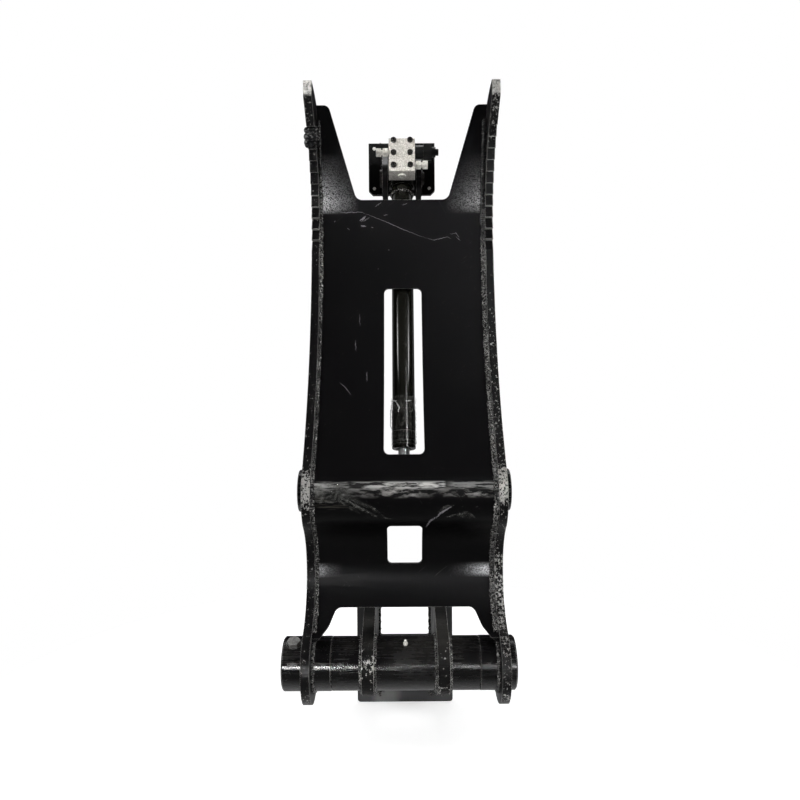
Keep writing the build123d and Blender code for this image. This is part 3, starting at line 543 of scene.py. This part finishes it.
def makeMoulded(name, look):
    # Moulded plastic or rubber with a fine matt grain
    material, tree, shader, place = startMaterial(name)
    grain = fieldNoise(tree, place, look["grain"], 2.0)
    dirt = useGroup(tree, dustGroup, {"Place": place, "Amount": look["dust"]})["Mask"]
    color = blendColor(tree, fieldNoise(tree, place, 30.0, 3.0), look["color"], look["shade"])
    link(tree, blendColor(tree, dirt, color, (0.22, 0.21, 0.19, 1)), shader, "Base Color")
    low, high = look["gloss"]
    link(tree, remap(tree, grain, 0.3, 0.7, low, high), shader, "Roughness")
    shader.inputs["Specular IOR Level"].default_value = look["specular"]
    bump = addNode(tree, "ShaderNodeBump", {"Strength": 0.2, "Distance": 0.0004, "Height": grain})
    link(tree, bump.outputs[0], shader, "Normal")
    return material


mouldedLook = {
    "capPlastic": {"color": (0.006, 0.006, 0.006, 1), "shade": (0.009, 0.009, 0.009, 1), "grain": 900.0,
                   "gloss": (0.26, 0.42), "specular": 0.40, "dust": 0.10},
    "scratchMark": {"color": (0.26, 0.25, 0.27, 1), "shade": (0.14, 0.13, 0.14, 1), "grain": 700.0,
                    "gloss": (0.35, 0.6), "specular": 0.5, "dust": 0.0},
    "filmEdge": {"color": (0.70, 0.70, 0.70, 1), "shade": (0.30, 0.30, 0.30, 1), "grain": 500.0,
                 "gloss": (0.10, 0.25), "specular": 0.9, "dust": 0.0},
    "sealRubber": {"color": (0.012, 0.012, 0.012, 1), "shade": (0.020, 0.020, 0.020, 1), "grain": 1200.0,
                   "gloss": (0.5, 0.7), "specular": 0.3, "dust": 0.2},
}

filmLook = {"color": (0.16, 0.16, 0.15, 1), "gloss": 0.12, "cover": (0.02, 0.55), "scale": 110.0}


def makeFilm(name, look):
    # Thin clear wrap, milky where it is creased
    material, tree, shader, place = startMaterial(name)
    creases = fieldNoise(tree, place, look["scale"], 5.0, 0.7)
    shader.inputs["Base Color"].default_value = look["color"]
    shader.inputs["Roughness"].default_value = look["gloss"]
    low, high = look["cover"]
    link(tree, remap(tree, creases, 0.44, 0.64, low, high), shader, "Alpha")
    bump = addNode(tree, "ShaderNodeBump", {"Strength": 0.9, "Distance": 0.003, "Height": creases})
    link(tree, bump.outputs[0], shader, "Normal")
    return material


materials = {name: makeMetal(name, look) for name, look in metalLook.items()}
materials |= {name: makeMoulded(name, look) for name, look in mouldedLook.items()}
for name, look, extras in (
    ("platePaint", "plate", {}),
    ("facePaint", "face", {"marks": ridgeMarksAndHighlights}),
    ("hubPaint", "hub", {}),
    ("rearPaint", "rear", {}),
    ("footPaint", "basePlate", {"marks": footMarks}),
    ("cylinderPaint", "cylinder", {}),
    ("weldPaint", "weld", {"extraWearAndGlints": weldGlints}),
    ("spatterPaint", "weld", {"extraWearAndGlints": faintGlints}),
):
    materials[name] = makePaint(name, paintLook[look], **extras)
for label, wearSettings in plateWearSettings.items():
    materials[label + "PlatePaint"] = makePaint(
        label + "PlatePaint", paintLook["plate"], plateWear(wearSettings), cutEdges=True)
lugBands = {
    "left": [(-0.10, 0.42), (0.055, 0.38), (0.066, 0.50), (0.084, 0.49), (0.092, 0.38), (0.24, 0.42)],
    "right": [(-0.10, 0.42), (0.0, 0.44), (0.05, 0.38), (0.24, 0.38)],
}
for label, bands in lugBands.items():
    materials[label + "LugPaint"] = makePaint(
        label + "LugPaint", paintLook["lug"], lugWear(bands), cutEdges=True)
materials["crumpledFilm"] = makeFilm("crumpledFilm", filmLook)

nodeFinish = {
    "side_plate_left": "leftPlatePaint", "side_plate_right": "rightPlatePaint",
    "face_plate": "facePaint", "base_plate": "footPaint",
    "base_lug_left": "leftLugPaint", "base_lug_right": "rightLugPaint",
    "valve_plug": "zincPlate",
    "top_lug_left": "rearPaint", "top_lug_right": "rearPaint", "top_plate": "rearPaint",
    "base_pin": "blackOxide", "lock_bolt": "dullZinc", "lock_nut": "dullZinc",
    "hub_tube": "hubPaint", "pivot_boss_left": "hubPaint", "pivot_boss_right": "hubPaint",
    "cross_tube_left": "hubPaint", "cross_tube_right": "hubPaint",
}
slotFinish = {
    "black_paint": "platePaint", "cylinder_paint": "cylinderPaint", "steel": "machinedSteel",
    "zinc": "zincPlate", "valve_metal": "valveSteel", "chrome": "hardChrome",
    "dark_steel": "blackOxide", "bronze": "bronzeBush", "black_plastic": "capPlastic",
    "seal": "sealRubber",
}
for part in frame["record"]["subparts"]:
    finish = nodeFinish.get(part["node"], slotFinish[part["material_slot"]])
    slots = nodes[part["node"]].material_slots
    if not slots:
        nodes[part["node"]].data.materials.append(None)
    for materialSlot in nodes[part["node"]].material_slots:
        materialSlot.material = materials[finish]
print("materials assigned", len(materials))


# Weld seams

def makeWeldTree():
    # Overlapping drops along an edge path, as a weld bead's ripples
    tree = bpy.data.node_groups.new("weldBead", "GeometryNodeTree")
    face = tree.interface
    face.new_socket("Geometry", in_out="INPUT", socket_type="NodeSocketGeometry")
    for label, default in (("Pitch", 0.004), ("Width", 0.005), ("Length", 0.0045), ("Unevenness", 0.2)):
        face.new_socket(label, in_out="INPUT", socket_type="NodeSocketFloat").default_value = default
    face.new_socket("Seed", in_out="INPUT", socket_type="NodeSocketInt").default_value = 3
    face.new_socket("Finish", in_out="INPUT", socket_type="NodeSocketMaterial")
    face.new_socket("Geometry", in_out="OUTPUT", socket_type="NodeSocketGeometry")
    given = tree.nodes.new("NodeGroupInput").outputs
    path = addNode(tree, "GeometryNodeMeshToCurve", {"Mesh": given["Geometry"]})
    drops = addNode(tree, "GeometryNodeCurveToPoints", {"Curve": path.outputs[0], "Length": given["Pitch"]},
                    mode="LENGTH")
    drop = addNode(tree, "GeometryNodeMeshUVSphere", {"Segments": 12, "Rings": 7, "Radius": 1.0})
    size = addNode(tree, "ShaderNodeCombineXYZ", {0: given["Width"], 1: given["Width"], 2: given["Length"]})
    low = addNode(tree, "ShaderNodeMath", {0: 1.0, 1: given["Unevenness"]}, operation="SUBTRACT")
    high = addNode(tree, "ShaderNodeMath", {0: 1.0, 1: given["Unevenness"]}, operation="ADD")
    change = addNode(tree, "FunctionNodeRandomValue", data_type="FLOAT")
    tree.links.new(low.outputs[0], change.inputs[2])
    tree.links.new(high.outputs[0], change.inputs[3])
    tree.links.new(given["Seed"], change.inputs["Seed"])
    scaled = addNode(tree, "ShaderNodeVectorMath", {0: size.outputs[0]}, operation="SCALE")
    tree.links.new(change.outputs[1], scaled.inputs["Scale"])
    placed = addNode(tree, "GeometryNodeInstanceOnPoints", {
        "Points": drops.outputs["Points"], "Instance": drop.outputs["Mesh"],
        "Rotation": drops.outputs["Rotation"], "Scale": scaled.outputs[0],
    })
    solid = addNode(tree, "GeometryNodeRealizeInstances", {0: placed.outputs[0]})
    smooth = addNode(tree, "GeometryNodeSetShadeSmooth", {0: solid.outputs[0]})
    painted = addNode(tree, "GeometryNodeSetMaterial",
                      {"Geometry": smooth.outputs[0], "Material": given["Finish"]})
    end = tree.nodes.new("NodeGroupOutput")
    tree.links.new(painted.outputs[0], end.inputs[0])
    return tree


weldTree = makeWeldTree()


def addWeld(settings):
    # Bead along a path of points, settled to a plain mesh
    points = settings["path"]
    mesh = bpy.data.meshes.new(settings["name"])
    edges = [(i, i + 1) for i in range(len(points) - 1)]
    if settings.get("closed"):
        edges.append((len(points) - 1, 0))
    mesh.from_pydata(points, edges, [])
    piece = addObject(settings["name"], mesh)
    modifier = piece.modifiers.new("bead", "NODES")
    modifier.node_group = weldTree
    values = {"Pitch": settings.get("pitch", 0.0042), "Width": settings["width"],
              "Length": settings.get("length", 0.0040), "Unevenness": settings.get("uneven", 0.15),
              "Seed": settings.get("seed", 1), "Finish": materials[settings.get("finish", "weldPaint")]}
    for item in weldTree.interface.items_tree:
        if item.in_out == "INPUT" and item.name in values:
            modifier[item.identifier] = values[item.name]
    piece.update_tag()
    graph = bpy.context.evaluated_depsgraph_get()
    settled = bpy.data.meshes.new_from_object(piece.evaluated_get(graph))
    piece.modifiers.clear()
    piece.data = settled
    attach(piece, settings["body"])
    return piece


def frontPoint(node, x, z, lift=0.0):
    # Point of a node's front surface, seen along +Y
    found, spot, normal, _ = nodes[node].ray_cast(Vector((x, -1.0, z)), Vector((0, 1, 0)))
    return spot + normal * lift if found else None


def ringPath(centre, axis, radius, count):
    # Points round an axis
    axis = axis.normalized()
    side = axis.orthogonal().normalized()
    other = axis.cross(side)
    turns = [2 * pi * i / count for i in range(count)]
    return [centre + radius * (side * cos(turn) + other * sin(turn)) for turn in turns]


def linePath(first, last, count=12):
    first, last = Vector(first), Vector(last)
    return [first.lerp(last, i / (count - 1)) for i in range(count)]


def photoPoint(node, column, row, lift=0.0):
    # Point and normal of a node's surface behind a pixel of the photo
    ray = cameraTurn @ Vector(((column - 400) / 700, (400 - row) / 700, -1)).normalized()
    found, spot, normal, _ = nodes[node].ray_cast(Vector(cameraSettings["place"]), ray)
    return (spot + normal * lift, normal) if found else None


def addPiece(settings, corners, faces):
    # Plain mesh that rides on one of the part's bodies
    mesh = bpy.data.meshes.new(settings["name"])
    mesh.from_pydata(corners, [], faces)
    mesh.materials.append(materials[settings["finish"]])
    mesh.shade_smooth()
    piece = addObject(settings["name"], mesh)
    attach(piece, settings["body"])
    return piece


def addRibbons(settings):
    # Thin raised marks along pixel paths, tapered to their ends
    draw = Random(settings["seed"])
    corners, faces = [], []
    for path in settings["paths"]:
        spots = []
        for (startX, startY), (endX, endY) in zip(path, path[1:]):
            steps = max(2, int(abs(endX - startX) + abs(endY - startY)) + 1)
            for i in range(steps):
                share = i / steps
                wobble = draw.uniform(-0.4, 0.4)
                spots.append(photoPoint(settings["node"], startX + (endX - startX) * share + wobble,
                                        startY + (endY - startY) * share + wobble, settings["lift"]))
        spots = [spot for spot in spots if spot]
        for i, (spot, normal) in enumerate(spots):
            ahead = spots[min(i + 1, len(spots) - 1)][0] - spots[max(i - 1, 0)][0]
            side = ahead.cross(normal).normalized()
            share = i / (len(spots) - 1)
            half = settings["width"] / 2 * (0.25 + sin(pi * share)) * draw.uniform(0.55, 1.25)
            first = len(corners)
            corners += [spot - side * half, spot + normal * settings["height"], spot + side * half]
            if i:
                faces.append((first - 3, first - 2, first + 1, first))
                faces.append((first - 2, first - 1, first + 2, first + 1))
    return addPiece(settings, corners, faces)


def creased(spot, settings):
    # Height of creases at a place
    fine = abs(noise.noise(spot * settings["fineScale"]))
    coarse = abs(noise.noise(spot * settings["coarseScale"]))
    return settings["crease"] * (coarse + 0.45 * fine)


def gridFaces(rows, columns):
    return [(r * columns + c, r * columns + c + 1, (r + 1) * columns + c + 1, (r + 1) * columns + c)
            for r in range(rows - 1) for c in range(columns - 1)]


def addWrap(settings):
    # Creased film round the front of the cylinder
    rows, columns = settings["rows"], settings["columns"]
    side = Vector((1, 0, 0))
    ahead = side.cross(alongCylinder)
    corners = []
    for r in range(rows):
        reach = settings["from"] + (settings["to"] - settings["from"]) * r / (rows - 1)
        middle = crossPinAxis + alongCylinder * reach
        for c in range(columns):
            turn = radians(settings["sweep"]) * (c / (columns - 1) - 0.5)
            out = side * sin(turn) + ahead * cos(turn)
            spot = middle + out * settings["radius"]
            corners.append(spot + out * creased(spot, settings))
    return addPiece(settings, corners, gridFaces(rows, columns))


def addPatch(settings):
    # Creased film stuck over part of the face plate
    left, top, right, bottom = settings["pixels"]
    rows, columns = settings["rows"], settings["columns"]
    corners = []
    for r in range(rows):
        for c in range(columns):
            column = left + (right - left) * c / (columns - 1)
            ragged = 1.6 * noise.noise(Vector((column * 0.21, r * 0.3, 5.0)))
            row = top + (bottom - top) * r / (rows - 1) + ragged
            spot, normal = photoPoint(settings["node"], column, row, settings["lift"])
            corners.append(spot + normal * creased(spot, settings))
    return addPiece(settings, corners, gridFaces(rows, columns))


def addBlobs(settings):
    # Overlapping weld spatter heaped over a plate's front edge
    draw = Random(settings["seed"])
    shape = bmesh.new()
    for _ in range(settings["count"]):
        width = draw.uniform(*settings["across"])
        height = draw.uniform(*settings["heights"])
        spot = frontPoint(settings["node"], width, height)
        if spot is None:
            inner = min(max(width, settings["edges"][0]), settings["edges"][1])
            spot = frontPoint(settings["node"], inner, height)
            spot = Vector((width, spot.y + draw.uniform(0.003, 0.012), height))
        radius = draw.uniform(*settings["sizes"])
        made = bmesh.ops.create_uvsphere(shape, u_segments=14, v_segments=9, radius=radius)
        bmesh.ops.scale(shape, vec=(1.0, 0.55, draw.uniform(0.7, 1.1)), verts=made["verts"])
        bmesh.ops.translate(shape, vec=spot, verts=made["verts"])
    mesh = bpy.data.meshes.new(settings["name"])
    shape.to_mesh(mesh)
    shape.free()
    mesh.materials.append(materials["spatterPaint"])
    mesh.shade_smooth()
    piece = addObject(settings["name"], mesh)
    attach(piece, settings["body"])


acrossAxis = Vector((1, 0, 0))
faceHalfWidth = 0.1908
faceSeam = {"heights": [0.128 + 0.004 * i for i in range(275)], "widths": {-1: 0.0047, 1: 0.0060}}
plateRings = [(0.2065, crossPinAxis, 0.0458, 0.0042), (0.2065, pivotAxis, 0.0548, 0.0046),
              (0.1875, pivotAxis, 0.0548, 0.0046), (0.1875, crossPinAxis, 0.0458, 0.0042)]
baseSeam = {"sides": (0.0625, 0.0905), "radius": 0.0544, "width": 0.0044, "depth": -0.0208,
            "heights": (-0.132, 0.236)}
topSeam = {"sides": (0.0335, 0.0485), "width": 0.0032, "depth": -0.0155, "heights": (1.110, 1.226)}
barrelSeam = {"reach": 0.7139, "radius": 0.0252, "width": 0.0034}


def uprightPath(x, seam):
    low, high = seam["heights"]
    return linePath((x, seam["depth"], low), (x, seam["depth"], high))


for side, label in ((-1, "Left"), (1, "Right")):
    seamWidth = faceSeam["widths"][side]
    inset = side * (faceHalfWidth - seamWidth)
    seam = [frontPoint("face_plate", inset, z, 0.0005) for z in faceSeam["heights"]]
    seam = [spot for spot in seam if spot is not None]
    addWeld({"name": "faceSeam" + label, "path": seam, "width": seamWidth, "body": "thumb",
             "seed": 5 + side, "pitch": 0.0048, "length": 0.0046, "uneven": 0.22})
    for place, centre, radius, width in plateRings:
        where = Vector((side * place, centre.y, centre.z))
        addWeld({"name": f"ringSeam{label}{int(place * 1e4)}x{int(centre.z * 1000)}", "closed": True,
                 "path": ringPath(where, acrossAxis, radius, 72), "width": width, "body": "thumb",
                 "seed": 11 + side})
    for place in baseSeam["sides"]:
        where = Vector((side * place, pivotAxis.y, pivotAxis.z))
        addWeld({"name": f"hubSeam{label}{int(place * 1e4)}", "closed": True, "width": baseSeam["width"],
                 "path": ringPath(where, acrossAxis, baseSeam["radius"], 72), "body": "base_bracket",
                 "seed": 21 + side})
        addWeld({"name": f"lugSeam{label}{int(place * 1e4)}", "width": baseSeam["width"],
                 "path": uprightPath(side * place, baseSeam), "body": "base_bracket", "seed": 27})
    for place in topSeam["sides"]:
        addWeld({"name": f"topLugSeam{label}{int(place * 1e4)}", "width": topSeam["width"],
                 "path": uprightPath(side * place, topSeam), "body": "top_bracket", "seed": 31,
                 "finish": "rearPaint", "pitch": 0.0034, "length": 0.0032})

barrelEnd = crossPinAxis + alongCylinder * barrelSeam["reach"]
# This bead takes the weld paint with its painted glints
addWeld({"name": "barrelEndSeam", "closed": True, "width": barrelSeam["width"], "body": "barrel",
         "path": ringPath(barrelEnd, alongCylinder, barrelSeam["radius"], 60),
         "seed": 41, "pitch": 0.0034, "slot": "cylinder_paint"})
addBlobs({"name": "plateLump", "node": "side_plate_left", "body": "thumb", "seed": 8, "count": 46,
          "across": (-0.209, -0.186), "edges": (-0.2065, -0.1915), "heights": (1.165, 1.195),
          "sizes": (0.0055, 0.0095)})
print("weld seams laid")

# Marks and film on the paint
scratchPaths = [
    [(340, 213), (350, 212.5), (361, 212), (366, 214)],
    [(366, 214), (384, 221), (402, 229), (420, 236), (426, 238)],
    [(426, 238), (433, 240), (438, 239), (447, 237), (452, 239)], [(450, 234), (456, 233), (460, 239)],
    [(383, 215.5), (389, 215)], [(371, 227), (374, 227.5)], [(375, 207), (379, 204), (382, 202)],
    [(334, 222), (335.5, 220)], [(347, 228), (350, 230)], [(388, 250), (390, 249.5)],
    [(378, 268), (378, 270)], [(359.6, 314), (360, 327)], [(355.5, 340), (355.9, 352)],
    [(367, 372), (367, 383)], [(340, 383), (345, 387), (351, 395)], [(370, 217), (366, 220), (360, 222)],
    [(361, 227), (367, 226)], [(456, 237), (461, 241)], [(402, 205), (408, 203)],
]
thickPaths = [
    [(366, 216), (363, 219), (359, 221)], [(361, 226), (367, 226.5)],
    [(436, 518), (441, 513), (449, 508), (452, 506)], [(426, 527), (430, 521), (436, 517)],
]
creasePaths = [
    [(336, 495), (350, 503), (366, 512), (378, 517)], [(341, 494), (356, 501), (372, 508), (384, 516)],
    [(346, 500), (358, 507), (376, 516), (392, 519)], [(338, 499), (349, 507), (361, 514)],
    [(438, 512), (446, 507), (455, 505)], [(447, 517), (458, 514), (471, 518)],
    [(456, 519), (466, 512), (477, 519)],
]
glandPaths = [
    [(394.5, 403), (393, 409), (392.4, 418), (392.6, 426), (394, 431)],
    [(393, 402), (397, 400.8), (399, 401.5)], [(397, 402), (400, 408), (399, 413)],
    [(405, 401.5), (411, 401)],
]
addRibbons({"name": "faceScratches", "node": "face_plate", "body": "thumb", "seed": 4,
            "width": 0.0011, "height": 0.0002, "lift": 0.0002, "finish": "scratchMark",
            "paths": scratchPaths})
addRibbons({"name": "thickMarks", "node": "face_plate", "body": "thumb", "seed": 9, "width": 0.0034,
            "height": 0.0006, "lift": 0.0002, "finish": "scratchMark", "paths": thickPaths})
addRibbons({"name": "filmCreases", "node": "face_plate", "body": "thumb", "seed": 12, "width": 0.0062,
            "height": 0.0016, "lift": 0.0003, "finish": "crumpledFilm", "paths": creasePaths})
addRibbons({"name": "glandCreases", "node": "barrel", "body": "barrel", "seed": 15, "width": 0.0024,
            "height": 0.0012, "lift": 0.0046, "finish": "filmEdge", "slot": "cylinder_paint",
            "paths": glandPaths})
addPatch({"name": "ridgeFilm", "node": "face_plate", "body": "thumb", "pixels": (315, 484, 351, 503),
          "rows": 26, "columns": 44, "lift": 0.0005, "crease": 0.0030, "fineScale": 210.0,
          "coarseScale": 70.0, "finish": "crumpledFilm"})
addWrap({"name": "glandFilm", "body": "barrel", "from": 0.096, "to": 0.206, "radius": 0.0268, "sweep": 200,
         "rows": 70, "columns": 60, "crease": 0.0026, "fineScale": 240.0, "coarseScale": 85.0,
         "finish": "crumpledFilm", "slot": "cylinder_paint"})
print("marks and film laid")


# Stage, light and camera

def makeFloor(settings):
    mesh = bpy.data.meshes.new("floor")
    shape = bmesh.new()
    bmesh.ops.create_circle(shape, cap_ends=True, radius=settings["radius"], segments=96)
    shape.to_mesh(mesh)
    shape.free()
    piece = addObject("floor", mesh)
    piece.location = (0, 0, settings["height"])
    material = bpy.data.materials.new("paleFloor")
    tree = emptyTree(material)
    rays = addNode(tree, "ShaderNodeLightPath").outputs
    place = addNode(tree, "ShaderNodeTexCoord").outputs["Object"]
    ahead = remap(tree, along(tree, place, "Y"), *settings["dimFrom"])
    dimmed = calc(tree, "MULTIPLY", ahead, rays["Is Glossy Ray"])
    shade = blendColor(tree, dimmed, settings["color"], settings["dim"])
    matt = addNode(tree, "ShaderNodeBsdfDiffuse", {"Color": shade})
    lift = calc(tree, "MULTIPLY", rays["Is Camera Ray"], settings["lift"])
    glow = addNode(tree, "ShaderNodeEmission", {"Color": (1, 1, 1, 1), "Strength": lift})
    both = addNode(tree, "ShaderNodeAddShader", {0: matt.outputs[0], 1: glow.outputs[0]})
    addNode(tree, "ShaderNodeOutputMaterial", {0: both.outputs[0]})
    piece.data.materials.append(material)


def makeWorld(settings):
    # White backdrop, soft light and a dim room in front
    world = bpy.data.worlds.new("studio")
    scene.world = world
    tree = emptyTree(world)
    way = addNode(tree, "ShaderNodeTexCoord").outputs["Generated"]
    parts = addNode(tree, "ShaderNodeSeparateXYZ", {0: way}).outputs
    across = calc(tree, "DIVIDE", parts["X"], parts["Y"])
    rays = addNode(tree, "ShaderNodeLightPath").outputs
    widely = remap(tree, calc(tree, "ABSOLUTE", across), *settings["openFrom"])
    room = calc(tree, "MULTIPLY", remap(tree, parts["Y"], *settings["besideFrom"]),
                remap(tree, parts["Z"], *settings["belowFrom"]))
    mirrored = blendColor(tree, calc(tree, "MULTIPLY", widely, room), settings["front"], (1, 1, 1, 1))
    lit = blendColor(tree, rays["Is Glossy Ray"], settings["soft"], mirrored)
    clear = calc(tree, "MAXIMUM", rays["Is Camera Ray"], rays["Is Transmission Ray"])
    seen = blendColor(tree, clear, lit, settings["backdrop"])
    light = addNode(tree, "ShaderNodeBackground", {"Color": seen, "Strength": 1.0})
    addNode(tree, "ShaderNodeOutputWorld", {0: light.outputs[0]})


def addLamp(settings):
    lamp = bpy.data.lights.new(settings["name"], "AREA")
    lamp.shape = "RECTANGLE"
    lamp.size, lamp.size_y = settings["size"]
    lamp.energy = settings["power"]
    lamp.spread = settings.get("spread", pi)
    piece = addObject(settings["name"], lamp)
    piece.location = settings["place"]
    aim = Vector(settings["aim"]) - piece.location
    piece.rotation_euler = aim.to_track_quat("-Z", "Y").to_euler()


makeFloor({"radius": 1.1, "height": -0.1495, "color": (0.80, 0.80, 0.80, 1), "lift": 0.62,
           "dim": (0.10, 0.10, 0.10, 1), "dimFrom": (-0.34, -0.52)})
makeWorld({"backdrop": (1, 1, 1, 1), "front": (0.024, 0.023, 0.026, 1), "soft": (0.35, 0.35, 0.35, 1),
           "openFrom": (0.9, 1.8), "besideFrom": (0.0, 0.3), "belowFrom": (0.75, 0.45)})
lamps = [
    {"name": "topLamp", "place": (0.0, 0.8, 3.0), "aim": (0, -0.1, 0.6), "size": (1.2, 0.8), "power": 14},
    {"name": "leftLamp", "place": (-2.7, -1.3, 1.5), "aim": (0, -0.2, 0.6), "size": (0.6, 1.4),
     "power": 40},
    {"name": "rightLamp", "place": (2.7, -1.5, 1.6), "aim": (0, -0.2, 0.6), "size": (0.5, 1.2),
     "power": 30},
    {"name": "lowLeftLamp", "place": (-0.68, -3.3, 0.16), "aim": (-0.16, -0.3, -0.06),
     "size": (0.50, 0.10), "power": 0.22, "spread": 0.24},
    {"name": "lowRightLamp", "place": (0.68, -3.3, 0.16), "aim": (0.20, -0.3, -0.06),
     "size": (0.50, 0.10), "power": 0.08, "spread": 0.24},
    {"name": "slimLamp", "place": (1.5, -2.5, 1.5), "aim": (0, -0.15, 0.68), "size": (0.05, 0.9),
     "power": 1.3, "spread": 0.6},
    {"name": "keyLamp", "place": (-1.4, -1.9, 1.9), "aim": (0, -0.1, 1.20), "size": (0.20, 0.20),
     "power": 0.28, "spread": 0.22},
]
for lampSettings in lamps:
    addLamp(lampSettings)

camera = addObject("camera", bpy.data.cameras.new("camera"))
camera.data.lens = cameraSettings["lens"]
camera.data.sensor_width = 36.0
camera.data.clip_start = 0.01
camera.location = cameraSettings["place"]
camera.rotation_euler = cameraTurn.to_euler()
scene.camera = camera
scene.view_settings.view_transform = "Standard"
print("stage ready")
